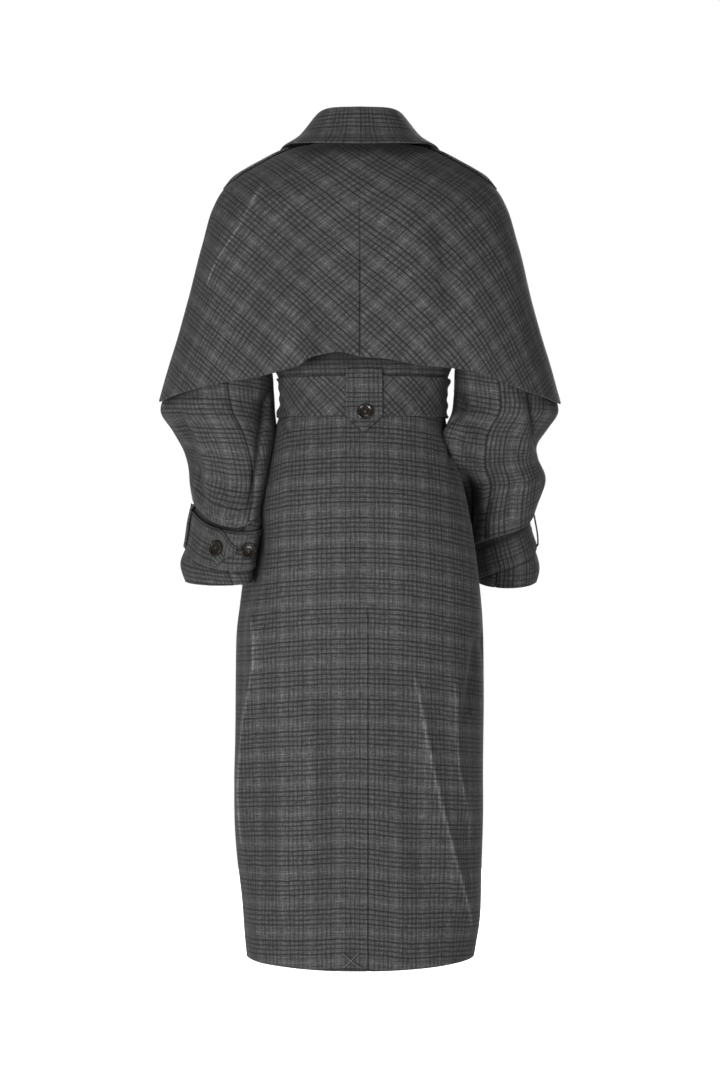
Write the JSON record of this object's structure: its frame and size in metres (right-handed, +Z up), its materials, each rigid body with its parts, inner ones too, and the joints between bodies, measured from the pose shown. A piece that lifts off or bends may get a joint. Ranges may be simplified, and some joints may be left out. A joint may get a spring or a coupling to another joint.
{
  "type": "long coat",
  "caption": "Long belted coat with a back cape, notched collar, buttoned cuff straps, shoulder straps and a back vent, hollow as worn.",
  "frame": {"origin": "base of the neck on the body's upright axis, level with the shoulders that carry the coat", "axes": "+Z up along the coat's length; the wearer faces -Y; +X is the wearer's left"},
  "size_m": [0.5738, 0.2953, 1.2093],
  "materials": {
    "suiting": "dark grey check suiting, dry and slightly napped",
    "button": "polished dark horn"
  },
  "bodies": {
    "root": {"bodice_back": "suiting", "bodice_front_left": "suiting", "bodice_front_right": "suiting", "skirt_back_left": "suiting", "skirt_back_right": "suiting", "skirt_front_left": "suiting", "skirt_front_right": "suiting", "cape_left": "suiting", "cape_right": "suiting", "collar": "suiting", "lapel_left": "suiting", "lapel_right": "suiting", "sleeve_left_upper": "suiting", "sleeve_left_under": "suiting", "sleeve_right_upper": "suiting", "sleeve_right_under": "suiting", "cuff_strap_left": "suiting", "cuff_strap_right": "suiting", "epaulette_left": "suiting", "epaulette_right": "suiting", "belt": "suiting", "belt_tab": "suiting", "button_belt_tab": "button", "button_cuff_left_lap": "button", "button_cuff_left_band": "button", "button_cuff_right_lap": "button", "button_cuff_right_band": "button", "button_belt_end": "button"}
  },
  "joints": []
}
